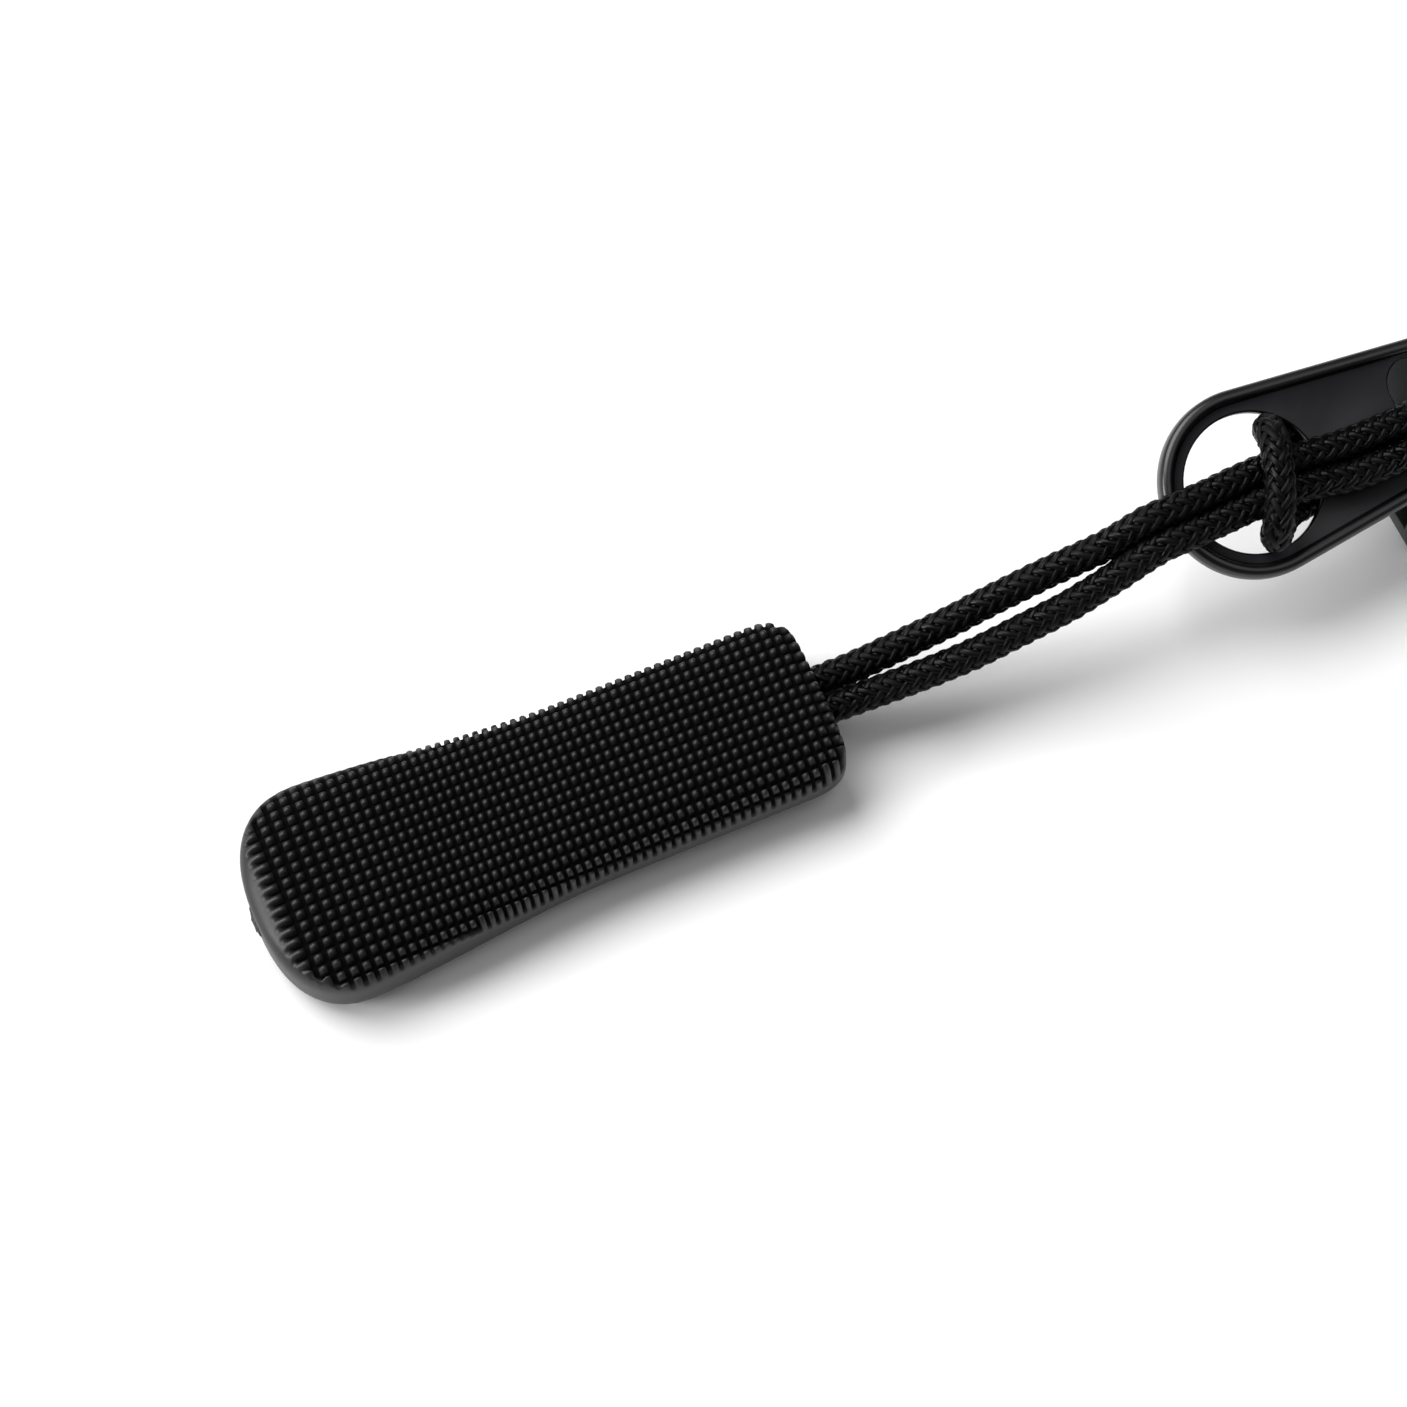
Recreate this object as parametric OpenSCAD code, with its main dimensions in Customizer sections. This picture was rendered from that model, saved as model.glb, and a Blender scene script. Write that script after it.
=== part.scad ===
// Zipper slider with a die-cast tab and a moulded rubber pull on a doubled cord.
// +Z up, the slider's underside on Z = 0, its centre at the origin, the pull along -X.

/* [Slider] */
// Length of the slider body behind the origin
body_rear = 7.2; // [6.6:0.1:7.6]
// Length of the slider body in front of the origin
body_front = 8.2; // [7.8:0.1:9]
// Width across the slider's shoulders
shoulder_w = 13.4; // [12.4:0.1:14]
// Width of the slider at its rear mouth
rear_w = 9.8; // [9.4:0.1:10.4]
// Thickness of each wing
wing_t = 1.1; // [0.9:0.05:1.1]
// Height of the channel that the chain runs in
channel_h = 2.6; // [2.3:0.05:2.6]
// Width of the flange along each wing's edge
flange_w = 1.1; // [0.9:0.05:1.2]
// Height of the slot that the tape leaves by
tape_slot = 1.1; // [0.9:0.05:1.3]

/* [Cap and lock] */
// Outer radius of the cap's arch
cap_r = 3.5; // [3.3:0.05:3.5]
// Width of the cap
cap_w = 3; // [2.8:0.05:3]
// Thickness of the cap's sheet
cap_t = 0.55; // [0.45:0.05:0.6]
// Radius of the cap's side window
cap_window_r = 1.7; // [1.65:0.05:1.8]
// Thickness of the lock pawl, seen from the side
pawl_t = 0.7; // [0.6:0.05:0.75]
// Width of the lock pawl
pawl_w = 1.4; // [1.2:0.05:1.5]

/* [Pull tab] */
// Radius of the tab's round free end
tab_end_r = 5.55; // [5.45:0.05:5.65]
// Radius of the round hole
hole_r = 4.1; // [4:0.05:4.2]
// Taper of each side of the tab, in degrees
tab_taper = 6.5; // [5:0.5:6.5]
// Thickness at the rim
tab_t = 1.5; // [1.4:0.05:1.5]
// Thickness of the recessed floor
floor_t = 0.7; // [0.5:0.05:0.7]
// Width of the raised rim
rim_w = 0.85; // [0.75:0.05:0.9]
// Distance from the hole's centre to the hinge bar
bar_u = 17.5; // [17.4:0.05:17.7]
// Diameter of the hinge bar
bar_d = 1.5; // [1.4:0.05:1.5]
// Sideways lean of the tab in its loose cap, in degrees
tab_roll = 20; // [18:1:20]

/* [Cord] */
// Diameter of the braided cord
cord_d = 1.8; // [1.5:0.05:1.8]

/* [Grip] */
// Length of the grip without its gate mark
grip_l = 34.6; // [32:0.2:36]
// Width across the bulb
bulb_w = 13.2; // [11.6:0.1:13.4]
// Width of the shaft
shaft_w = 10.7; // [9.6:0.1:11]
// Thickness of the bulb
bulb_t = 5; // [4.6:0.1:5]
// Thickness of the shaft
shaft_t = 4.8; // [4.4:0.1:5]
// Turn of the grip about the vertical as it lies, in degrees
grip_yaw = -1.9; // [-3:0.1:3]
// Slope of the grip, its mouth held up by the cord, in degrees
grip_pitch = 1.4; // [0:0.1:1.4]

/* [Hidden] */
$fn = 64;

wing_top = 2 * wing_t + channel_h;
lip_h = (channel_h - tape_slot) / 2;
bar_x = 1.3;
bar_z = 7.8;
hole_x = bar_x - bar_u;
web_end = 9.4;
window_end = bar_u - bar_d / 2;
grip_mouth_x = -43.6;
grip_y = 0.17;
grip_z = 3.25;
leg_pitch = 1.84;
pivot_x = bar_x + 1.85;
pivot_z = 6.15;
pivot_r = 0.45;
channel_w = 1.7;
sleeve_in = 13.5;
sleeve_l = 5;
cord_in = 17;

// Cord: points inside the grip, in the grip's own frame, from its mouth: along, across, above
end_far = [[-cord_in, 0.92, 0], [-9, 0.92, 0], [-0.6, 0.92, 0], [0, 0.92, 0]];
end_near = [[0, -0.92, 0], [-0.6, -0.92, 0], [-9, -0.92, 0], [-cord_in, -0.92, 0]];
// Cord: points along each leg, in the part's own frame
leg_far = [[-42.9, 1.06, 3.27], [-40.9, 0.98, 3.4], [-37.9, 0.82, 4.05], [-34.9, 0.6, 5],
           [-31.9, 0.4, 6.1], [-28.9, 0.1, 7.3], [-25.9, -0.2, 8.5]];
leg_near = [[-25.9, -2.1, 8], [-28.9, -2.1, 6.8], [-31.9, -1.9, 5.7], [-34.9, -1.72, 4.73],
            [-37.9, -1.35, 3.93], [-40.9, -0.97, 3.42], [-42.9, -0.78, 3.27]];
// Cord: the hitch, in the tab's own frame, from the hole's centre: along, across, above
hitch_far = [[-7.2, 0.38, 1.7], [-5.4, 0.4, 1.8], [-3, 0.45, 1.62], [-0.8, 0.55, 1.5], [1.2, 0.55, 1.5],
             [3.2, 0.3, 1.4], [5.4, -0.05, 1.32], [7.8, -0.1, 1.32], [9.4, -0.1, 1.25],
             [10.3, -0.05, 0.75], [10.5, 0, 0], [10.3, 0.05, -0.75], [9.4, 0.1, -1.3], [7.8, 0.3, -1.4],
             [5.6, 0.9, -1.4], [4.1, 1.5, -1.35], [3, 2, -1.05], [2.4, 2.15, -0.35],
             [2.2, 2.3, 0.4], [2.1, 2.45, 1.2], [1.95, 2.4, 2.1], [1.75, 1.75, 2.95], [1.45, 0.7, 3.38]];
hitch_top = [[1.1, -0.45, 3.5]];
hitch_near = [[0.65, -1.6, 3.38], [0.1, -2.7, 2.95], [-0.2, -3.35, 2.1], [0, -3.3, 1.3],
              [0.6, -2.75, 0.5], [1.3, -2.4, -0.3], [2.4, -2.25, -1.05], [4.1, -2.1, -1.38],
              [5.6, -1.98, -1.4], [7.8, -1.95, -1.4], [9.4, -1.95, -1.3], [10.3, -1.95, -0.75],
              [10.5, -1.95, 0], [10.3, -1.95, 0.75], [9.4, -1.95, 1.25], [7.8, -1.95, 1.32],
              [5.4, -1.9, 1.32], [3.2, -1.6, 1.4], [1.2, -1.32, 1.5], [-0.8, -1.32, 1.5],
              [-3, -1.4, 1.62], [-5.4, -1.46, 1.8], [-7.2, -1.48, 1.7]];

// ---- small geometry functions ----
function blend(t) = t <= 0 ? 0 : t >= 1 ? 1 : t * t * (3 - 2 * t);
function mix(a, b, t) = a + (b - a) * t;
function unit(v) = v / norm(v);
function reversed(list) = [for (i = [len(list) - 1 : -1 : 0]) list[i]];

// A point of the tab's own frame in the part's frame
function from_tab(p) = [
    hole_x + p[0],
    p[1] * cos(tab_roll) - p[2] * sin(tab_roll),
    bar_z + p[1] * sin(tab_roll) + p[2] * cos(tab_roll)
];

// A point of the grip's own frame in the part's frame
function from_grip(p) =
    let (along = p[0] * cos(grip_pitch) - p[2] * sin(grip_pitch))
    [grip_mouth_x + along * cos(grip_yaw) - p[1] * sin(grip_yaw),
     grip_y + along * sin(grip_yaw) + p[1] * cos(grip_yaw),
     grip_z + p[0] * sin(grip_pitch) + p[2] * cos(grip_pitch)];

// The whole cord, from one end inside the grip to the other
route = concat(
    [for (p = end_far) from_grip(p)], leg_far,
    [for (p = concat(hitch_far, hitch_top, hitch_near)) from_tab(p)],
    leg_near, [for (p = end_near) from_grip(p)]
);

// Frames carried along a line without twist: each is [across, direction]
function heading(line, i) = unit(line[min(i + 1, len(line) - 1)] - line[max(i - 1, 0)]);
function square_to(v, dir) = unit(v - (v * dir) * dir);
function frames(line, i = 0, across = [0, 0, 1]) = i >= len(line) ? [] :
    let (dir = heading(line, i), side = square_to(across, dir))
    concat([[side, dir]], frames(line, i + 1, side));

// A plain round tube along the route from one of its points to another
module cord_tube(first, final) {
    sides = 8;
    r = cord_d / 2;
    all = frames(route);
    line = [for (i = [first : final]) route[i]];
    turned = [for (i = [first : final]) all[i]];
    rings = [for (i = [0 : len(line) - 1]) for (k = [0 : sides - 1])
        line[i] + r * (cos(360 * k / sides) * turned[i][0]
                       + sin(360 * k / sides) * cross(turned[i][1], turned[i][0]))];
    last = (len(line) - 1) * sides;
    polyhedron(rings, concat(
        [[for (k = [0 : sides - 1]) k]],
        [for (i = [0 : len(line) - 2]) for (k = [0 : sides - 1]) let (n = (k + 1) % sides)
            each [[i * sides + k, (i + 1) * sides + k, (i + 1) * sides + n],
                  [i * sides + k, (i + 1) * sides + n, i * sides + n]]],
        [[for (k = [sides - 1 : -1 : 0]) last + k]]
    ));
}

// Draws its 2D children in the X-Z plane and gives them a width along Y
module upright(width) {
    rotate([90, 0, 0]) linear_extrude(width, center = true) children();
}

// Places its children in the tab's frame
module on_tab() {
    translate([hole_x, 0, bar_z]) rotate([tab_roll, 0, 0]) children();
}

// Places its children in the grip's frame, from its mouth
module in_grip() {
    translate([grip_mouth_x, grip_y, grip_z]) rotate([0, -grip_pitch, grip_yaw]) children();
}

// ---- slider body ----
// Half width of the wings at a place along the body
function wing_half(x) =
    let (grown = mix(rear_w / 2, shoulder_w / 2, blend((x + 3.2) / 6.4)),
         nose = max(0, (x - body_front + 4) / 4))
    grown * (1 - 0.42 * pow(nose, 3));

module wing_outline(inset = 0, past = 0) {
    steps = 28;
    span = body_rear + body_front;
    side = [for (i = [0 : steps]) let (x = -body_rear + span * i / steps)
        [i == 0 ? x - past : i == steps ? x + past : x, wing_half(x) - inset]];
    polygon(concat(side, [for (p = reversed(side)) [p[0], -p[1]]]));
}

module diamond_outline() {
    tip_x = 0.4;
    wide_x = body_front - 2.6;
    half_w = 2.1;
    steps = 12;
    side = [for (i = [0 : steps]) let (t = i / steps)
        [mix(tip_x, wide_x, t), mix(0.35, half_w, blend(t))]];
    front = [for (i = [1 : steps]) let (a = 90 * i / steps)
        [wide_x + (body_front - 0.5 - wide_x) * sin(a), half_w * (0.62 + 0.38 * cos(a))]];
    half = concat(side, front);
    polygon(concat(half, [for (p = reversed(half)) [p[0], -p[1]]]));
}

module flanges() {
    linear_extrude(lip_h) difference() {
        wing_outline();
        wing_outline(inset = flange_w, past = 1);
    }
}

module slider_body() {
    slot_l = 1.9;
    slot_w = pawl_w + 0.3;
    lug_l = 1.4;
    color("#17181a") difference() {
        union() {
            linear_extrude(wing_t) wing_outline();
            translate([0, 0, wing_top - wing_t]) linear_extrude(wing_t) wing_outline();
            translate([0, 0, wing_t]) linear_extrude(channel_h) diamond_outline();
            translate([0, 0, wing_t]) flanges();
            translate([0, 0, wing_top - wing_t - lip_h]) flanges();
            translate([pivot_x - 0.65, -channel_w / 2 + 0.05, wing_top - 0.01])
                cube([lug_l, channel_w - 0.1, pivot_z - wing_top]);
        }
        translate([bar_x - 3.1, -slot_w / 2, wing_t + channel_h - 0.5])
            cube([slot_l, slot_w, wing_t + 1]);
        translate([pivot_x, 0, pivot_z]) rotate([90, 0, 0])
            cylinder(r = pivot_r + 0.05, h = channel_w + 1, center = true);
    }
}

// ---- cap ----
module arch(r) {
    translate([bar_x, bar_z]) circle(r);
    translate([bar_x - r, wing_top]) square([2 * r, bar_z - wing_top]);
}

module above_wing() {
    intersection() {
        children();
        translate([bar_x - 10, wing_top]) square([20, 20]);
    }
}

module cap() {
    color("#1b1c1f") difference() {
        upright(cap_w) above_wing() arch(cap_r);
        upright(cap_w + 1) arch(cap_window_r);
        translate([0, 0, -0.01]) upright(channel_w) arch(cap_r - cap_t);
    }
}

// ---- leaf spring ----
module leaf_spring() {
    outer = cap_r - cap_t - 0.05;
    strip_t = 0.2;
    steps = 16;
    tongue_z = 2.16;
    arc = [for (i = [0 : steps]) let (a = mix(38, 142, i / steps)) [cos(a), sin(a)]];
    inside = [for (p = reversed(arc)) (outer - strip_t) * p];
    left = [for (p = inside) if (p[0] < -0.1) p];
    right = [for (p = inside) if (p[0] > 0.1) p];
    tongue = [[-0.15, tongue_z], [0.15, tongue_z]];
    color("#b98a4a") upright(pawl_w) translate([bar_x, bar_z])
        polygon(concat([for (p = arc) outer * p], left, tongue, right));
}

// ---- lock pawl ----
module lock_pawl() {
    inner = 1.4;
    outer = inner + pawl_t;
    nose_z = wing_t + channel_h - 0.6;
    color("#2a2b2e") {
        upright(pawl_w) {
            intersection() {
                translate([bar_x, bar_z]) difference() {
                    circle(outer);
                    circle(inner);
                }
                translate([bar_x - 5, bar_z - 0.01]) square([10, 5]);
            }
            polygon([[bar_x - outer, bar_z], [bar_x - inner, bar_z],
                     [bar_x - inner, nose_z + 0.3], [bar_x - inner - 0.25, nose_z],
                     [bar_x - outer, nose_z]]);
            translate([bar_x + inner, pivot_z]) square([pawl_t, bar_z - pivot_z]);
        }
        translate([pivot_x, 0, pivot_z]) rotate([90, 0, 0]) cylinder(r = pivot_r, h = pawl_w, center = true);
    }
}

// ---- pull tab ----
// Half width of the tab at a place along it, inside its outline by inset
function tab_half(u, inset) =
    tab_end_r / cos(tab_taper) - u * tan(tab_taper) - inset / cos(tab_taper);

module tab_outline(inset = 0, end_u = bar_u + bar_d / 2) {
    steps = 40;
    r = tab_end_r - inset;
    round_end = [for (i = [0 : steps]) let (a = mix(90 - tab_taper, 270 + tab_taper, i / steps))
        [r * cos(a), r * sin(a)]];
    corner = 0.9 - min(inset, 0.4);
    polygon(concat(round_end, [
        [end_u - corner, -tab_half(end_u, inset)], [end_u - corner * 0.3, -tab_half(end_u, inset) + corner * 0.3],
        [end_u, -tab_half(end_u, inset) + corner], [end_u, tab_half(end_u, inset) - corner],
        [end_u - corner * 0.3, tab_half(end_u, inset) - corner * 0.3], [end_u - corner, tab_half(end_u, inset)]
    ]));
}

// The window between the web and the hinge bar, with round corners at the web
module window_outline(start = web_end, wall = 1.05) {
    corner = 1.5;
    steps = 8;
    top = tab_half(start + corner, wall);
    bend = [for (i = [0 : steps]) let (a = 90 * i / steps)
        [start + corner - corner * sin(a), top - corner + corner * cos(a)]];
    half = concat([[window_end, tab_half(window_end, wall)]], bend);
    polygon(concat(half, [for (p = reversed(half)) [p[0], -p[1]]]));
}

module recess() {
    depth = (tab_t - floor_t) / 2;
    for (side = [-1, 1])
        translate([0, 0, side * (tab_t / 2 - depth / 2 + 0.05)])
            linear_extrude(depth + 0.1, center = true) tab_outline(inset = rim_w, end_u = window_end + 0.2);
}

module pull_tab() {
    arm = tab_half(bar_u, 0);
    color("#121216") on_tab() {
        difference() {
            linear_extrude(tab_t, center = true) tab_outline();
            cylinder(r = hole_r, h = tab_t + 1, center = true);
            linear_extrude(tab_t + 1, center = true) window_outline();
            recess();
            translate([bar_u, -arm - 1, -tab_t]) cube([bar_d, 2 * arm + 2, 2 * tab_t]);
        }
        translate([bar_u, 0, 0]) rotate([90, 0, 0]) cylinder(d = bar_d, h = 2 * arm, center = true);
    }
}

// ---- cord ----
far_end_n = len(end_far) - 1;
far_leg_n = far_end_n + len(leg_far);
near_leg_n = len(route) - len(end_near) - len(leg_near);
near_end_n = len(route) - len(end_near);

module cord_end_far() {
    color("#1a1a1c") cord_tube(0, far_end_n);
}

module cord_leg_far() {
    color("#1a1a1c") cord_tube(far_end_n, far_leg_n);
}

module cord_hitch() {
    color("#1a1a1c") cord_tube(far_leg_n, near_leg_n);
}

module cord_leg_near() {
    color("#1a1a1c") cord_tube(near_leg_n, near_end_n);
}

module cord_end_near() {
    color("#1a1a1c") cord_tube(near_end_n, len(route) - 1);
}

// ---- crimp sleeve ----
module pair_slot(length, r) {
    rotate([0, 90, 0]) {
        for (side = [-1, 1])
            translate([0, side * leg_pitch / 2, 0]) cylinder(r = r, h = length);
        translate([-r, -leg_pitch / 2, 0]) cube([2 * r, leg_pitch, length]);
    }
}

module crimp_sleeve() {
    wall = 0.45;
    color("#b9bcc0") in_grip() translate([-sleeve_in, 0, 0]) difference() {
        pair_slot(sleeve_l, cord_d / 2 + wall);
        translate([-1, 0, 0]) pair_slot(sleeve_l + 2, cord_d / 2 + 0.02);
    }
}

// ---- grip ----
// Half width and half thickness at a distance s from the bulb's end
bulb_l = 5.2;
round_l = 2.8;
function bulb_round(s) = s >= bulb_l ? 1 : pow(1 - pow((bulb_l - s) / bulb_l, 2.5), 1 / 2.5);
function mouth_round(s) =
    let (left = grip_l - s) left >= round_l ? 1 : pow(1 - pow((round_l - left) / round_l, 2.6), 1 / 2.6);
function grip_half_w(s) =
    mix(bulb_w, shaft_w, blend((s - 3) / 17)) / 2 * bulb_round(s) * mix(0.62, 1, mouth_round(s));
function grip_half_t(s) =
    mix(bulb_t, shaft_t, blend((s - 5) / 8)) / 2
    * (s >= 3.4 ? 1 : mix(0.42, 1, pow(1 - pow((3.4 - s) / 3.4, 2.2), 1 / 2.2)))
    * (grip_l - s >= 1.6 ? 1 : mix(0.72, 1, pow(1 - pow(1 - (grip_l - s) / 1.6, 2.2), 1 / 2.2)));

module grip_shell() {
    sides = 36;
    rings = 44;
    squareness = 3.6;
    stations = [for (i = [0 : rings]) let (t = i / rings)
        grip_l * (0.5 - 0.5 * cos(180 * t)) * 0.9984 + grip_l * 0.0008];
    function rim_point(a, half_w, half_t) = [
        half_w * sign(cos(a)) * pow(abs(cos(a)), 2 / squareness),
        half_t * sign(sin(a)) * pow(abs(sin(a)), 2 / squareness)
    ];
    points = [for (s = stations) for (k = [0 : sides - 1])
        let (p = rim_point(360 * k / sides, grip_half_w(s), grip_half_t(s))) [s, p[0], p[1]]];
    last = rings * sides;
    translate([-grip_l, 0, 0]) polyhedron(points, concat(
        [[for (k = [sides - 1 : -1 : 0]) k]],
        [for (i = [0 : rings - 1]) for (k = [0 : sides - 1]) let (n = (k + 1) % sides)
            each [[i * sides + k, (i + 1) * sides + n, (i + 1) * sides + k],
                  [i * sides + k, i * sides + n, (i + 1) * sides + n]]],
        [[for (k = [0 : sides - 1]) last + k]]
    ));
}

module gate_mark() {
    translate([-grip_l - 0.35, -1.2, -0.6]) cube([1.6, 2.4, 1.2]);
}

module grip() {
    color("#232427") in_grip() difference() {
        union() {
            grip_shell();
            gate_mark();
        }
        translate([-cord_in, 0, 0]) pair_slot(cord_in + 1, cord_d / 2 + 0.02);
        translate([-sleeve_in - 0.02, 0, 0]) pair_slot(sleeve_l + 0.04, cord_d / 2 + 0.47);
    }
}

slider_body();
cap();
leaf_spring();
lock_pawl();
pull_tab();
cord_hitch();
cord_leg_far();
cord_leg_near();
cord_end_far();
cord_end_near();
crimp_sleeve();
grip();
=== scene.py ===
import math

import bmesh
import bpy
from mathutils import Matrix, Vector, noise


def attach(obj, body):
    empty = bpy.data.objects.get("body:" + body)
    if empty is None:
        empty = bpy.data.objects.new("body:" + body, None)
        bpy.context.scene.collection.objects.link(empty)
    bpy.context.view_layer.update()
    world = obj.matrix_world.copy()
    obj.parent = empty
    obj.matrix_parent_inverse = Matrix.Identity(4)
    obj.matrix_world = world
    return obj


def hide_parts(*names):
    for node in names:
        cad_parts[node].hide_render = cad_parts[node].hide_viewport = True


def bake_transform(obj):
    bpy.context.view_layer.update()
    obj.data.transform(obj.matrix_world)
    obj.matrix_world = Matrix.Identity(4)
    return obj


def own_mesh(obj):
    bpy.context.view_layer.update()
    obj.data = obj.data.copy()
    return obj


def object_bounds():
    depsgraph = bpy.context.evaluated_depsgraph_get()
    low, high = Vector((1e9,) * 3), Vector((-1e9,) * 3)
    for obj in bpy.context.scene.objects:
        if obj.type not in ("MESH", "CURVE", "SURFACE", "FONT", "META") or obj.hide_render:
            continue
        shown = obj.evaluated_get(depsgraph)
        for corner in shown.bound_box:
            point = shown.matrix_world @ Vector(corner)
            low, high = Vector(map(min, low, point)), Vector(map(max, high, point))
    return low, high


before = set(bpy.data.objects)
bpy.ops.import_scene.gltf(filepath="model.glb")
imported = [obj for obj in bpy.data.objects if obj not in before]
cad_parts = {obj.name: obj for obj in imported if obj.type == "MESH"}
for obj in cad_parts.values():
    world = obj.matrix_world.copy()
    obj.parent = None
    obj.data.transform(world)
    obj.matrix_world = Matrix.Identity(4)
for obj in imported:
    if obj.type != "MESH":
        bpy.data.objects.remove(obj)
cad_lo, cad_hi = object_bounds()
MM = 0.001

# Camera: a long lens above and a little to the left of the pull, which lies
# along -X, so the grip fills the frame and the slider runs out of it.
camera_turn = math.radians(-24.94)
camera_height = math.radians(66)
camera_distance = 0.25
camera_lens = 111.94
camera_aim = Vector((-0.04992, 0.002275, 0.004))
away = Vector((
    math.sin(camera_turn) * math.cos(camera_height),
    -math.cos(camera_turn) * math.cos(camera_height),
    math.sin(camera_height),
))
camera = bpy.data.objects.new("camera", bpy.data.cameras.new("camera"))
bpy.context.collection.objects.link(camera)
camera.data.sensor_width = 36
camera.data.lens = camera_lens
camera.data.clip_start = 0.01
camera.data.clip_end = 100
camera.rotation_mode = "QUATERNION"
camera.rotation_quaternion = (-away).to_track_quat("-Z", "Y")
camera.location = camera_aim + camera_distance * away
bpy.context.scene.camera = camera

# ---------------------------------------------------------------------------
# Cord: one length of 1.8 mm braided polyester, sixteen yarns laid two over and
# two under round a filled core. It leaves the grip, hitches through the tab's
# hole and window, and comes back into the grip, where a sleeve crimps both ends.
cord_d = 1.8 * MM
yarn_pairs = 8
braid_pitch = 6.4 * MM
yarn_radius = 0.72 * MM
yarn_lift = 0.08 * MM
yarn_half_w = 0.33 * MM
yarn_half_t = 0.16 * MM
yarn_sides = 8
braid_step = 0.24 * MM
lay_angle = math.atan(2 * math.pi * yarn_radius / braid_pitch)
core_radius = 0.6 * MM
core_sides = 8
cuts_per_span = 12
smoothings = 3
weave_repeat = 4
slack_share = 0.35
slack_length = 0.9 * MM
yarn_girth = 1.4
core_girth = 3.8
weld = 0.002 * MM

# the route in metres: its ends from the grip's mouth, in the grip's own frame, the
# hitch from the middle of the tab's hole, in the tab's, and the legs in the part's
hole_centre = Vector((-0.0162, 0, 0.0078))
tab_roll = math.radians(20)
grip_mouth = Vector((-0.0436, 0.00017, 0.00325))
grip_yaw = math.radians(-1.9)
grip_pitch = math.radians(1.4)
tab_place = Matrix.Translation(hole_centre) @ Matrix.Rotation(tab_roll, 4, "X")
grip_place = (Matrix.Translation(grip_mouth) @ Matrix.Rotation(grip_yaw, 4, "Z")
              @ Matrix.Rotation(-grip_pitch, 4, "Y"))

end_far = [(-0.017, 0.00092, 0), (-0.009, 0.00092, 0), (-0.0006, 0.00092, 0), (0, 0.00092, 0)]
leg_far = [
    (-0.0429, 0.00106, 0.00327), (-0.0409, 0.00098, 0.0034), (-0.0379, 0.00082, 0.00405),
    (-0.0349, 0.0006, 0.005), (-0.0319, 0.0004, 0.0061), (-0.0289, 0.0001, 0.0073),
    (-0.0259, -0.00028, 0.0085),
]
hitch_far = [
    (-0.0072, 0.0003, 0.0017), (-0.0054, 0.00031, 0.0018), (-0.003, 0.00035, 0.00162),
    (-0.0008, 0.00044, 0.0015), (0.0012, 0.00042, 0.0015), (0.0032, 0.0002, 0.0014),
    (0.0054, -0.00005, 0.00132), (0.0078, -0.0001, 0.00132), (0.0096, -0.0001, 0.00125),
    (0.01055, -0.00005, 0.00075), (0.01075, 0, 0), (0.01055, 0.00005, -0.00075),
    (0.0096, 0.0001, -0.0013), (0.0078, 0.0003, -0.0014), (0.0056, 0.0009, -0.0014),
    (0.0041, 0.0015, -0.00135), (0.003, 0.002, -0.00105), (0.0024, 0.00215, -0.00035),
    (0.00205, 0.0023, 0.0004), (0.0018, 0.00245, 0.0012), (0.0015, 0.0024, 0.0021),
    (0.00125, 0.00175, 0.00295), (0.0009, 0.0007, 0.00338),
]
hitch_near = [
    (0.0005, -0.00045, 0.0035), (0.00005, -0.0016, 0.00338), (-0.0004, -0.0027, 0.00295),
    (-0.0006, -0.00335, 0.0021), (-0.0003, -0.0033, 0.0013), (0.0005, -0.00275, 0.0005),
    (0.0013, -0.0024, -0.0003), (0.0024, -0.00225, -0.00105), (0.0041, -0.0021, -0.00138),
    (0.0056, -0.00198, -0.0014), (0.0078, -0.00195, -0.0014), (0.0096, -0.00195, -0.0013),
    (0.01055, -0.00195, -0.00075), (0.01075, -0.00195, 0), (0.01055, -0.00195, 0.00075),
    (0.0096, -0.00195, 0.00125), (0.0078, -0.00195, 0.00132), (0.0054, -0.0019, 0.00132),
    (0.0032, -0.0015, 0.0014), (0.0012, -0.00122, 0.0015), (-0.0008, -0.00122, 0.0015),
    (-0.003, -0.0013, 0.00162), (-0.0054, -0.00136, 0.0018), (-0.0072, -0.0014, 0.0017),
]
leg_near = [
    (-0.0259, -0.00204, 0.008), (-0.0289, -0.0021, 0.0068), (-0.0319, -0.0019, 0.0057),
    (-0.0349, -0.00172, 0.00473), (-0.0379, -0.00135, 0.00393), (-0.0409, -0.00097, 0.00342),
    (-0.0429, -0.00078, 0.00327),
]
end_near = [(0, -0.00092, 0), (-0.0006, -0.00092, 0), (-0.009, -0.00092, 0), (-0.017, -0.00092, 0)]
route = (
    [grip_place @ Vector(p) for p in end_far]
    + [Vector(p) for p in leg_far]
    + [tab_place @ Vector(p) for p in hitch_far + hitch_near]
    + [Vector(p) for p in leg_near]
    + [grip_place @ Vector(p) for p in end_near]
)


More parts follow.
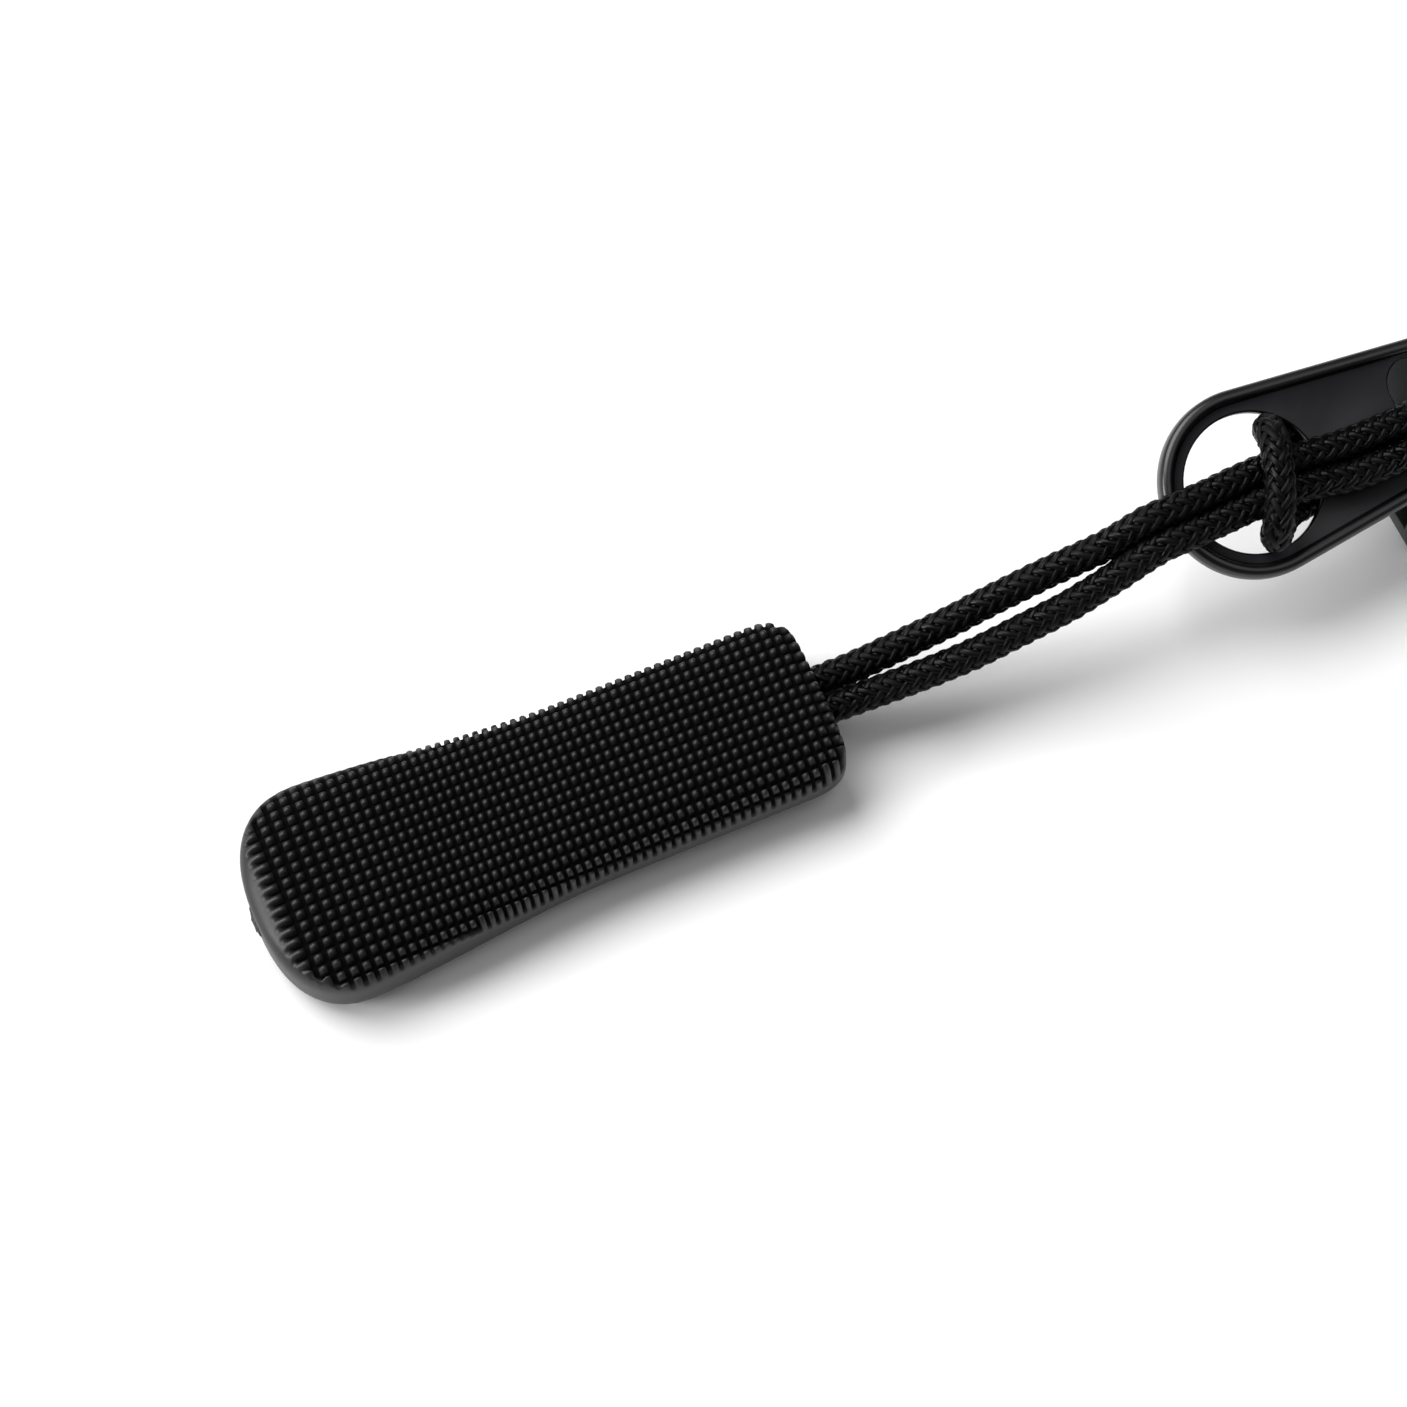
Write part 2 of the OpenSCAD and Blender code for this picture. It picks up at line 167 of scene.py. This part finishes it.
def laid(points, step):
    """A smooth line through the points, cut into equal steps."""
    padded = [2 * points[0] - points[1]] + points + [2 * points[-1] - points[-2]]
    fine = [points[0]]
    for before, a, b, after in zip(padded, padded[1:], padded[2:], padded[3:]):
        for i in range(1, cuts_per_span + 1):
            t = i / cuts_per_span
            fine.append(0.5 * (
                2 * a + (b - before) * t
                + (2 * before - 5 * a + 4 * b - after) * t * t
                + (3 * a - before - 3 * b + after) * t ** 3
            ))
    for _ in range(smoothings):
        fine[1:-1] = [(p + 2 * q + r) / 4 for p, q, r in zip(fine, fine[1:], fine[2:])]
    reach = [0.0]
    for p, q in zip(fine, fine[1:]):
        reach.append(reach[-1] + (q - p).length)
    count = round(reach[-1] / step)
    line, k = [], 0
    for i in range(count + 1):
        want = reach[-1] * i / count
        while k < len(fine) - 2 and reach[k + 1] < want:
            k += 1
        line.append(fine[k].lerp(fine[k + 1], (want - reach[k]) / (reach[k + 1] - reach[k])))
    return line, reach[-1]


def carried(line):
    """Two directions square to the line at each point, carried along it without twist."""
    side, out = Vector((0, 0, 1)), []
    for i in range(len(line)):
        ahead = (line[min(i + 1, len(line) - 1)] - line[max(i - 1, 0)]).normalized()
        side = (side - side.dot(ahead) * ahead).normalized()
        out.append((side, ahead.cross(side)))
    return out


def cloth_of_quads(bm, across, along, place, size):
    """A grid of quads, each vertex laid by place(column, row), with UVs in millimetres."""
    uv = bm.loops.layers.uv.verify()
    made = bmesh.ops.create_grid(bm, x_segments=across, y_segments=along, size=0.5)["verts"]
    spot = {v: (round((v.co.x + 0.5) * across), round((v.co.y + 0.5) * along)) for v in made}
    for face in {f for v in made for f in v.link_faces}:
        for loop in face.loops:
            i, j = spot[loop.vert]
            loop[uv].uv = (size[0] * i / across, size[1] * j / along)
    for v, (i, j) in spot.items():
        v.co = place(i, j)
    return made


def finished(name, bm, body=None, smooth=True):
    """Turns a bmesh into a piece at the origin."""
    bmesh.ops.recalc_face_normals(bm, faces=bm.faces)
    for face in bm.faces:
        face.smooth = smooth
    mesh = bpy.data.meshes.new(name)
    bm.to_mesh(mesh)
    bm.free()
    piece = bpy.data.objects.new(name, mesh)
    bpy.context.collection.objects.link(piece)
    if body:
        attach(piece, body)
    return piece


def linear(colour):
    """An sRGB hex value as linear red, green, blue and alpha."""
    parts = [int(colour[i:i + 2], 16) / 255 for i in (1, 3, 5)]
    return [c / 12.92 if c <= 0.04045 else ((c + 0.055) / 1.055) ** 2.4 for c in parts] + [1]


def shader(name, **settings):
    """A new material with its main shader's sockets set."""
    material = bpy.data.materials.new(name)
    material.use_nodes = True
    main = material.node_tree.nodes["Principled BSDF"]
    for socket, value in settings.items():
        main.inputs[socket.replace("_", " ")].default_value = value
    return material, main


def add(material, kind, settings=None, **links):
    """Adds a node: settings are its properties, sockets or ramp stops; links feed it."""
    node = material.node_tree.nodes.new("ShaderNode" + kind)
    for key, value in (settings or {}).items():
        if key == "stops":
            while len(node.color_ramp.elements) < len(value):
                node.color_ramp.elements.new(0.5)
            for element, (place, colour) in zip(node.color_ramp.elements, value):
                element.position, element.color = place, linear(colour)
        elif isinstance(key, str) and hasattr(node, key):
            setattr(node, key, value)
        else:
            node.inputs[key].default_value = value
    for socket, source in links.items():
        material.node_tree.links.new(source, node.inputs[socket.replace("_", " ")])
    return node


def join(material, source, main, socket):
    """Joins an output to one of the main shader's sockets."""
    material.node_tree.links.new(source, main.inputs[socket])


# Polyester multifilament yarn, dyed black. Each yarn is a bundle of fine bright
# filaments, drawn coarser than life, and its crowns glint where they turn.
cord_black, cord_main = shader("braided_polyester", Specular_IOR_Level=0.13)
coords = add(cord_black, "UVMap")
filaments = add(cord_black, "Mapping", {"Scale": (9, 0.9, 1)}, Vector=coords.outputs["UV"])
strands = add(cord_black, "TexNoise", {"Scale": 1.0, "Detail": 3.0, "Roughness": 0.6},
              Vector=filaments.outputs["Vector"])
dyed = add(cord_black, "ValToRGB",
           {"stops": [(0.3, "#010102"), (0.62, "#030304"), (0.8, "#0b0b0d")]},
           Fac=strands.outputs["Fac"])
join(cord_black, dyed.outputs["Color"], cord_main, "Base Color")
worn = add(cord_black, "TexNoise", {"Scale": 1.1, "Detail": 2.0}, Vector=coords.outputs["UV"])
sheen = add(cord_black, "MapRange",
            {"From Min": 0.35, "From Max": 0.65, "To Min": 0.24, "To Max": 0.6},
            Value=worn.outputs["Fac"])
join(cord_black, sheen.outputs["Result"], cord_main, "Roughness")
relief = add(cord_black, "Bump", {"Strength": 0.7, "Distance": 0.03 * MM},
             Height=strands.outputs["Fac"])
join(cord_black, relief.outputs["Normal"], cord_main, "Normal")

cord_line, cord_length = laid(route, braid_step)
sides_of_line = carried(cord_line)


def yarn_place(number, way):
    """Where each vertex of one yarn goes: way is 1 for right-hand yarns, -1 for left."""
    def place(i, j):
        s = cord_length * j / (len(cord_line) - 1)
        crossing = 2 * yarn_pairs * s / braid_pitch
        turn = 2 * math.pi * (number / yarn_pairs + way * s / braid_pitch)
        beat = 2 * math.pi * (2 * number + way * crossing - 0.5) / weave_repeat
        patch = noise.noise(Vector((s / slack_length, number * 3.7, way * 5.1)))
        slack = 1 + slack_share * patch
        out = yarn_radius + way * yarn_lift * slack * math.cos(beat)
        side, up = sides_of_line[j]
        radial = math.cos(turn) * side + math.sin(turn) * up
        around = math.cos(turn) * up - math.sin(turn) * side
        around = around * math.cos(lay_angle)
        angle = 2 * math.pi * (i % yarn_sides) / yarn_sides
        return (cord_line[j] + (out + yarn_half_t * math.sin(angle)) * radial
                + yarn_half_w * math.cos(angle) * around)
    return place


def core_place(i, j):
    """The filled core under the yarns."""
    side, up = sides_of_line[j]
    angle = 2 * math.pi * (i % core_sides) / core_sides
    return cord_line[j] + core_radius * (math.cos(angle) * side + math.sin(angle) * up)


bm = bmesh.new()
steps_along = len(cord_line) - 1
for way in (1, -1):
    for number in range(yarn_pairs):
        cloth_of_quads(bm, yarn_sides, steps_along, yarn_place(number, way),
                       (yarn_girth, cord_length / MM))
cloth_of_quads(bm, core_sides, steps_along, core_place, (core_girth, cord_length / MM))
bmesh.ops.remove_doubles(bm, verts=bm.verts, dist=0.01 * weld)
bmesh.ops.holes_fill(bm, edges=[e for e in bm.edges if e.is_boundary], sides=12)
braid = finished("braided_cord", bm)
braid.data.materials.append(cord_black)
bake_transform(braid)
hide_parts("cord_hitch", "cord_leg_far", "cord_leg_near", "cord_end_far", "cord_end_near")

# ---------------------------------------------------------------------------
# Grip: one black thermoplastic rubber moulding over the crimped cord, wide at
# its free end, with rounded square pegs left between two families of grooves.
grip_l = 34.6
bulb_w, shaft_w = 13.2, 10.7
bulb_t, shaft_t = 5, 4.8
narrows_from, narrows_over = 3, 17
thins_from, thins_over = 5, 8
bulb_corner, mouth_corner = 5.2, 2.8
bulb_edge, mouth_edge = 3.4, 1.6
squareness = 3.6
half_points = 63
peg_pitch = 0.695
peg_depth = 0.52
peg_foot = 0.68
row_cuts = (0, 0.25, 0.34, 0.5, 0.66, 0.75)
column_cuts = (0, 0.16, 0.25, 0.5, 0.75, 0.84)
cuts = len(row_cuts)
first_groove = 2.0
last_peg_end = 0.15
tip_run, tip_rings, mouth_rings = 1.7, 14, 7
close_at, close_pitch = 13, 0.545
bare_tip = 0.8
band_under, band_bulb, band_shaft = 0.6, 0.4, -0.05
groove_end = 0.12


def eased(t):
    """A soft step from 0 at t = 0 to 1 at t = 1."""
    t = min(max(t, 0.0), 1.0)
    return t * t * (3 - 2 * t)


def mixed(a, b, t):
    return a + (b - a) * t


def rounded(left, reach, power):
    """1 beyond reach, falling to 0 at the end along a full round."""
    return 1.0 if left >= reach else max(0.0, 1 - ((reach - left) / reach) ** power) ** (1 / power)


def grip_half_w(s):
    """Half the grip's width at s mm from the bulb's end, without its pegs."""
    wide = mixed(bulb_w, shaft_w, eased((s - narrows_from) / narrows_over)) / 2
    mouth = mixed(0.62, 1, rounded(grip_l - s, mouth_corner, 2.6))
    return wide * rounded(s, bulb_corner, 2.5) * mouth


def grip_half_t(s):
    thick = mixed(bulb_t, shaft_t, eased((s - thins_from) / thins_over)) / 2
    mouth = mixed(0.72, 1, rounded(grip_l - s, mouth_edge, 2.2))
    return thick * mixed(0.42, 1, rounded(s, bulb_edge, 2.2)) * mouth


def column_pitch(s):
    """The pegs stand further apart towards the bulb, and a little towards the mouth."""
    if s < close_at:
        return close_pitch + 0.28 * ((close_at - s) / (close_at - first_groove)) ** 1.6
    return close_pitch + 0.1 * ((s - close_at) / (grip_l - close_at)) ** 0.8


def dome(t):
    """Height across a peg's cell: 1 on its crown, 0 from its foot into the groove."""
    return max(0.0, 1 - (abs(t) / peg_foot) ** 6)


# each station is a distance from the bulb's end, its place across its column of
# pegs, and the middle of that column; the first column is the fingers at the tip
fingers = 0.8 * first_groove
stations = [(tip_run * (i / tip_rings) ** 2, 0.0, fingers) for i in range(tip_rings)]
stations += [(first_groove - 0.2, 0.5, fingers), (first_groove - 0.13, peg_foot, fingers)]
s = first_groove
while s + column_pitch(s) < grip_l - last_peg_end:
    wide = column_pitch(s)
    stations += [(s + wide * cut, 2 * cut - 1, s + wide / 2) for cut in column_cuts]
    s += wide
left = grip_l - s
for i in range(mouth_rings):
    nearer = grip_l - left * (1 - i / (mouth_rings - 1)) ** 2
    stations.append((nearer, -max(0.0, 1 - i / 2.5), s + left / 2))


def row_y(index):
    return peg_pitch * (index // cuts + row_cuts[index % cuts])


def last_groove(middle):
    """How far out the last groove between two rows is cut in the column at middle."""
    limit = grip_half_w(middle) - 0.06
    if middle < bulb_corner + 0.8:
        limit = min(limit, grip_half_w(middle - 0.5) - 0.2)
    return peg_pitch * (math.floor(limit / peg_pitch + 0.5) - 0.5)


def peg_cover(s, y, steep, under):
    """1 where the pegs are cut, 0 on the smooth band round the grip's edge."""
    end = grip_half_w(s - 0.6) + 0.6 * eased((s - first_groove) / 4)
    low = band_under if under else mixed(band_bulb, band_shaft, eased((s - 9) / 7))
    tip = eased((s - bare_tip) / bare_tip)
    return tip * eased((end - abs(y)) / 0.3 + 0.5) * eased((steep - low) / 0.25)


def squarish(share):
    """The other share of a rounded square's half breadth, where one share is given."""
    return (1 - share ** squareness) ** (1 / squareness)


def section_point(index, half_w, half_t):
    """Across and above for a point of the upper half: on the rows, then down the side."""
    row = abs(index)
    edge = max(half_w - 0.4, 0.35 * half_w)
    edge_row = max(k for k in range(half_points) if row_y(k) <= edge)
    y = row_y(min(row, edge_row))
    z = half_t * squarish(y / half_w) if half_w > 1e-6 else half_t
    if row > edge_row:
        z *= 1 - (row - edge_row) / (half_points - edge_row)
        y = half_w * squarish(z / half_t)
    return math.copysign(y, index), z


def grip_place_point(i, j):
    """A vertex of the grip: i runs round from one side over the top and back under."""
    s, a, middle = stations[j]
    half_w, half_t = grip_half_w(s), grip_half_t(s)
    turn = i % (4 * half_points)
    under = turn > 2 * half_points
    index = turn - half_points if not under else 3 * half_points - turn
    y, z = section_point(index, half_w, half_t)
    row = abs(y) / peg_pitch
    past = abs(y) - last_groove(middle)
    b = 2 * (row - round(row)) if past < 0 else max(0.0, 1 - past / groove_end)
    steep = z / half_t
    sunk = peg_depth * (1 - dome(a) * dome(b)) * peg_cover(s, y, steep, under)
    grooves.append(sunk / peg_depth)
    # straight down on the faces, and straight in on the sides
    down = eased((steep - 0.35) / 0.5)
    z_out = z - sunk * mixed(0.15, 1.0, down)
    y_out = y - math.copysign(min(abs(y), sunk * mixed(0.5, 0.0, down)), y)
    height = -z_out if under else z_out
    return grip_place @ Vector(((s - grip_l) * MM, y_out * MM, height * MM))


bm = bmesh.new()
grooves = []
groove_layer = bm.verts.layers.float.new("groove")
shell = cloth_of_quads(bm, 4 * half_points, len(stations) - 1, grip_place_point,
                       (33.0, grip_l))
for v, depth in zip(shell, grooves):
    v[groove_layer] = depth
bmesh.ops.remove_doubles(bm, verts=bm.verts, dist=weld)
rim = [e for e in bm.edges if e.is_boundary]
mouth_depth = 4 * MM
mouth_r = cord_d / 2 + 0.06 * MM
leg_y = 0.92 * MM


def mouth_outline(y, z):
    """The point, in the direction given, of the long round hole both cord ends enter by."""
    angle = math.atan2(z, y)
    centre = leg_y * eased((math.cos(angle) + 0.6) / 1.2) * 2 - leg_y
    return centre + mouth_r * math.cos(angle), mouth_r * math.sin(angle)


inner = bmesh.ops.extrude_edge_only(bm, edges=rim)["geom"]
inner_verts = [g for g in inner if isinstance(g, bmesh.types.BMVert)]
back = grip_place.inverted()
for v in inner_verts:
    local = back @ v.co
    y, z = mouth_outline(local.y, local.z)
    v.co = grip_place @ Vector((0.0, y, z))
inner_rim = [g for g in inner if isinstance(g, bmesh.types.BMEdge)]
deep = bmesh.ops.extrude_edge_only(bm, edges=inner_rim)["geom"]
for v in [g for g in deep if isinstance(g, bmesh.types.BMVert)]:
    v.co = v.co - grip_place.to_3x3() @ Vector((mouth_depth, 0, 0))
bmesh.ops.holes_fill(bm, edges=[e for e in bm.edges if e.is_boundary], sides=0)
# the torn stub at the middle of the bulb's end, where the runner was broken off
gate_half = (0.3, 1.0, 0.55)
gate_at = Vector((0.14 - grip_l, -0.1, 0.15))
gate = bmesh.ops.create_icosphere(bm, subdivisions=4, radius=1)["verts"]
for v in gate:
    ragged = 1 + 0.22 * noise.noise(v.co * 3.1) + 0.12 * noise.noise(v.co * 9)
    torn = Vector([half * c for half, c in zip(gate_half, v.co)]) * ragged
    v.co = grip_place @ ((torn + gate_at) * MM)
grip_rubber = finished("grip_moulding", bm, "grip")
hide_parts("grip")

# Thermoplastic rubber, moulded matt: a fine eroded grain and a faint bloom that
# greys it; the grooves are painted darker, with less specular, as painted shade.
rubber, rubber_main = shader("thermoplastic_rubber")
place = add(rubber, "TexCoord")
cut = add(rubber, "Attribute", {"attribute_name": "groove"})
bloom = add(rubber, "TexNoise", {"Scale": 260.0, "Detail": 4.0}, Vector=place.outputs["Object"])
# painted shade: the deeper a point lies in a groove, the darker its colour
painted_groove_shade = add(rubber, "MapRange", {"To Max": 0.7}, Value=cut.outputs["Fac"])
shade = add(rubber, "Math", {"operation": "SUBTRACT"})
rubber.node_tree.links.new(bloom.outputs["Fac"], shade.inputs[0])
rubber.node_tree.links.new(painted_groove_shade.outputs["Result"], shade.inputs[1])
tone = add(rubber, "ValToRGB",
           {"stops": [(0.0, "#020202"), (0.3, "#0f0f10"), (0.7, "#19191b")]},
           Fac=shade.outputs["Value"])
join(rubber, tone.outputs["Color"], rubber_main, "Base Color")
dull = add(rubber, "MapRange", {"To Min": 0.46, "To Max": 0.95}, Value=cut.outputs["Fac"])
join(rubber, dull.outputs["Result"], rubber_main, "Roughness")
# painted shade: less specular reflection down in the grooves
shut = add(rubber, "MapRange", {"To Min": 0.5, "To Max": 0.1}, Value=cut.outputs["Fac"])
join(rubber, shut.outputs["Result"], rubber_main, "Specular IOR Level")
grain = add(rubber, "TexNoise", {"Scale": 9000.0, "Detail": 3.0}, Vector=place.outputs["Object"])
skin = add(rubber, "Bump", {"Strength": 0.35, "Distance": 0.02 * MM}, Height=grain.outputs["Fac"])
join(rubber, skin.outputs["Normal"], rubber_main, "Normal")
grip_rubber.data.materials.append(rubber)

# ---------------------------------------------------------------------------
# Pull tab: zinc die casting, a taper with a round end, a raised rim round a
# sunken floor, a round hole for the cord and a window beside the hinge bar.
tab_end_r = 5.55
tab_hole_r = 4.1
tab_taper = math.radians(6.5)
floor_t = 0.7
bar_u = 17.5
bar_r = 0.75
floor_short = 0.55
web_end = 9.7
window_wall = 1.05
window_corner = 1.5
window_margin = 0.6
round_steps = 56
side_steps = 10
hole_steps = 72
window_steps = 6


def tab_half(u, inset):
    """Half the tab's width at u mm from the hole's centre, less inset."""
    return (tab_end_r / math.cos(tab_taper) - u * math.tan(tab_taper)
            - inset / math.cos(tab_taper))


def on_circle(r, angle):
    return r * math.cos(angle), r * math.sin(angle)


def tab_loop(inset, end_u):
    """The tab's outline inside its edge by inset, closed across the hinge end."""
    start, turn = math.pi / 2 - tab_taper, math.pi + 2 * tab_taper
    loop = [on_circle(tab_end_r - inset, start + turn * i / round_steps)
            for i in range(round_steps + 1)]
    lower = [mixed(loop[-1][0], end_u, i / side_steps) for i in range(1, side_steps + 1)]
    loop += [(u, -tab_half(u, inset)) for u in lower]
    return loop + [(u, -v) for u, v in reversed(loop[round_steps + 1:])]


def hole_loop(r):
    return [on_circle(r, 2 * math.pi * i / hole_steps) for i in range(hole_steps)]


def window_loop(grow):
    """The window's outline, grown outwards by grow."""
    wall = window_wall - grow
    start, corner = web_end - grow, window_corner + grow
    top = tab_half(start + corner, wall)
    bend = [(start + corner - corner * math.sin(math.pi * i / (2 * side_steps)),
             top - corner + corner * math.cos(math.pi * i / (2 * side_steps)))
            for i in range(side_steps + 1)]
    end = bar_u - window_margin
    edge = [mixed(end, bend[0][0], i / window_steps) for i in range(window_steps)]
    half = [(u, tab_half(u, wall)) for u in edge] + bend
    return half + [(u, -v) for u, v in reversed(half)]


def ring_of(bm, loop, w):
    """A closed ring of edges through the loop's points at height w."""
    verts = [bm.verts.new((u * MM, v * MM, w * MM)) for u, v in loop]
    return [bm.edges.new((a, b)) for a, b in zip(verts, verts[1:] + verts[:1])]


# the upper half only: inset from the edge and height, over the raised rim and down
# to the floor, then the same for the lip round the hole and the window
bm = bmesh.new()
half_floor = floor_t / 2
bead = [(0.0, 0.0), (0.0, 0.3), (0.05, 0.5), (0.16, 0.65), (0.32, 0.73), (0.45, 0.75),
        (0.6, 0.72), (0.72, 0.64), (0.79, 0.5), (0.82, 0.41), (0.88, half_floor)]
rim_rings = [ring_of(bm, tab_loop(inset, bar_u if inset < 0.7 else bar_u - floor_short), w)
             for inset, w in bead]
lip = [(0.12, half_floor), (0.04, half_floor - 0.035), (0.0, half_floor - 0.12), (0.0, 0.0)]
hole_rings = [ring_of(bm, hole_loop(tab_hole_r + out), w) for out, w in lip]
window_rings = [ring_of(bm, window_loop(out), w) for out, w in lip]
for rings in (rim_rings, hole_rings, window_rings):
    for a, b in zip(rings, rings[1:]):
        bmesh.ops.bridge_loops(bm, edges=a + b)
sunken = bmesh.ops.triangle_fill(bm, edges=rim_rings[-1] + hole_rings[0] + window_rings[0],
                                 use_beauty=True)["geom"]
for face in (g for g in sunken if isinstance(g, bmesh.types.BMFace)):
    face.material_index = 1
bmesh.ops.mirror(bm, geom=bm.verts[:] + bm.edges[:] + bm.faces[:], axis="Z",
                 merge_dist=weld / 2)
bar_l = 2 * (tab_half(bar_u, 0) + 0.02)
bar = bmesh.ops.create_cone(bm, cap_ends=True, segments=32, radius1=bar_r * MM,
                            radius2=bar_r * MM, depth=bar_l * MM)["verts"]
ends = [e for e in {e for v in bar for e in v.link_edges}
        if len(e.link_faces) == 2 and e.calc_face_angle() > 1]
bmesh.ops.rotate(bm, verts=bar, cent=(0, 0, 0), matrix=Matrix.Rotation(math.pi / 2, 3, "X"))
bmesh.ops.translate(bm, verts=bar, vec=(bar_u * MM, 0, 0))
bmesh.ops.bevel(bm, geom=ends, offset=0.2 * MM, affect="EDGES", segments=4,
                profile=0.5, material=-1)
bmesh.ops.transform(bm, verts=bm.verts, matrix=tab_place)
tab = finished("tab_casting", bm, "tab")
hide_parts("pull_tab")

# Black stoving enamel over a zinc casting: glossy on the rim, satin in the
# sunken floor, with the faint ripple that the sprayed coat dries to.
def mottled(material, main, fac, dark, light, smoothest, roughest):
    """Colour and roughness that both follow one noise."""
    tone = add(material, "ValToRGB", {"stops": [(0.3, dark), (0.7, light)]}, Fac=fac)
    join(material, tone.outputs["Color"], main, "Base Color")
    rough = add(material, "MapRange", {"To Min": smoothest, "To Max": roughest}, Value=fac)
    join(material, rough.outputs["Result"], main, "Roughness")


def stoved_enamel(name, dark, light, smoothest, roughest):
    material, main = shader(name)
    place = add(material, "TexCoord")
    spread = add(material, "TexNoise", {"Scale": 180.0, "Detail": 3.0},
                 Vector=place.outputs["Object"])
    mottled(material, main, spread.outputs["Fac"], dark, light, smoothest, roughest)
    ripple = add(material, "TexNoise", {"Scale": 1400.0, "Detail": 2.0},
                 Vector=place.outputs["Object"])
    coat = add(material, "Bump", {"Strength": 0.15, "Distance": 0.03 * MM},
               Height=ripple.outputs["Fac"])
    join(material, coat.outputs["Normal"], main, "Normal")
    return material


enamel = stoved_enamel("black_enamel_on_zinc", "#060607", "#0e0d10", 0.24, 0.4)
satin = stoved_enamel("black_enamel_satin", "#0d0b11", "#17131c", 0.48, 0.6)
tab.data.materials.append(enamel)
tab.data.materials.append(satin)

# ---------------------------------------------------------------------------
# Slider body and cap: the body a zinc die casting, the cap an arch pressed from
# sheet and staked between its lugs, both tumbled soft at the edges and enamelled.
flat_below = math.radians(1)
sharp_above = math.radians(32)


def softened(name, node, body, width, segments=3):
    """The CAD node's own shape with its flat faces joined and its sharp edges rounded."""
    bm = bmesh.new()
    bm.from_mesh(bpy.data.objects[node].data)
    bmesh.ops.remove_doubles(bm, verts=bm.verts, dist=weld)
    bmesh.ops.dissolve_limit(bm, angle_limit=flat_below, verts=bm.verts, edges=bm.edges)
    sharp = [e for e in bm.edges
             if len(e.link_faces) == 2 and e.calc_face_angle() > sharp_above]
    bmesh.ops.bevel(bm, geom=sharp, offset=width * MM, offset_type="OFFSET", affect="EDGES",
                    segments=segments, profile=0.5, material=-1, clamp_overlap=True)
    piece = finished(name, bm, body)
    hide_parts(node)
    return piece


slider = softened("slider_casting", "slider_body", "slider", 0.12)
slider.data.materials.append(enamel)
cap = softened("slider_cap", "cap", "slider", 0.1)
cap.data.materials.append(enamel)

# ---------------------------------------------------------------------------
# Lock pawl and leaf spring: a blanked steel hook whose nose drops between the
# teeth, and the bronze strip over it that presses it down.
steel, steel_main = shader("blackened_steel", Metallic=1.0)
place = add(steel, "TexCoord")
scale = add(steel, "TexNoise", {"Scale": 900.0, "Detail": 4.0},
            Vector=place.outputs["Object"])
mottled(steel, steel_main, scale.outputs["Fac"], "#2b2c2f", "#4a4b50", 0.28, 0.5)
pitted = add(steel, "Bump", {"Strength": 0.3, "Distance": 0.01 * MM},
             Height=scale.outputs["Fac"])
join(steel, pitted.outputs["Normal"], steel_main, "Normal")
pawl = softened("pawl_blank", "lock_pawl", "pawl", 0.06, 2)
pawl.data.materials.append(steel)

bronze, bronze_main = shader("spring_bronze", Metallic=1.0)
place = add(bronze, "TexCoord")
rolled = add(bronze, "Mapping", {"Scale": (200, 6000, 200)}, Vector=place.outputs["Object"])
lines = add(bronze, "TexNoise", {"Scale": 1.0, "Detail": 3.0}, Vector=rolled.outputs["Vector"])
mottled(bronze, bronze_main, lines.outputs["Fac"], "#8f6a35", "#c39a5c", 0.2, 0.42)
spring = softened("spring_strip", "leaf_spring", "slider", 0.03, 2)
spring.data.materials.append(bronze)
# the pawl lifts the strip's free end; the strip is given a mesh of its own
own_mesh(spring)

# ---------------------------------------------------------------------------
# Crimp sleeve: a short length of drawn aluminium tube pressed flat round both
# cord ends, shut inside the rubber.
aluminium, aluminium_main = shader("drawn_aluminium", Metallic=1.0)
place = add(aluminium, "TexCoord")
drawn = add(aluminium, "Mapping", {"Scale": (200, 5000, 5000)}, Vector=place.outputs["Object"])
streaks = add(aluminium, "TexNoise", {"Scale": 1.0, "Detail": 3.0}, Vector=drawn.outputs["Vector"])
mottled(aluminium, aluminium_main, streaks.outputs["Fac"], "#a3a5a8", "#d0d2d4", 0.25, 0.5)
sleeve = bpy.data.objects["crimp_sleeve"]
sleeve.data.materials.clear()
sleeve.data.materials.append(aluminium)

# ---------------------------------------------------------------------------
# Floor and light: a wide white sweep just under the part, a broad soft light from
# behind, a lower one from the left, a weak one from above, and a dim white room.
floor_half = 12
floor_gap = 0.02 * MM
bm = bmesh.new()
bmesh.ops.create_grid(bm, x_segments=1, y_segments=1, size=floor_half)
bmesh.ops.translate(bm, verts=bm.verts, vec=(0, 0, cad_lo.z - floor_gap))
floor = finished("floor", bm)
paper, paper_main = shader("white_sweep", Roughness=0.9)
paper_main.inputs["Base Color"].default_value = linear("#f4f4f4")
paper_main.inputs["Specular IOR Level"].default_value = 0.1
floor.data.materials.append(paper)


def soft_light(name, towards, width, power):
    """A broad even light from far off, width degrees across as the part sees it."""
    lamp = bpy.data.objects.new(name, bpy.data.lights.new(name, "SUN"))
    lamp.data.angle = math.radians(width)
    lamp.data.energy = power
    lamp.rotation_mode = "QUATERNION"
    lamp.rotation_quaternion = Vector(towards).to_track_quat("Z", "Y")
    bpy.context.collection.objects.link(lamp)


soft_light("key", (-0.3, 0.5, 0.75), 48, 3.35)
soft_light("side", (-0.6, 0.15, 0.28), 21, 1.85)
soft_light("fill", (0.3, -0.2, 1.0), 46, 0.5)
world = bpy.data.worlds.new("room")
bpy.context.scene.world = world
world.use_nodes = True
room_light = world.node_tree.nodes["Background"]
room_light.inputs["Color"].default_value = (1, 1, 1, 1)
room_light.inputs["Strength"].default_value = 0.12
bpy.context.scene.view_settings.view_transform = "Standard"
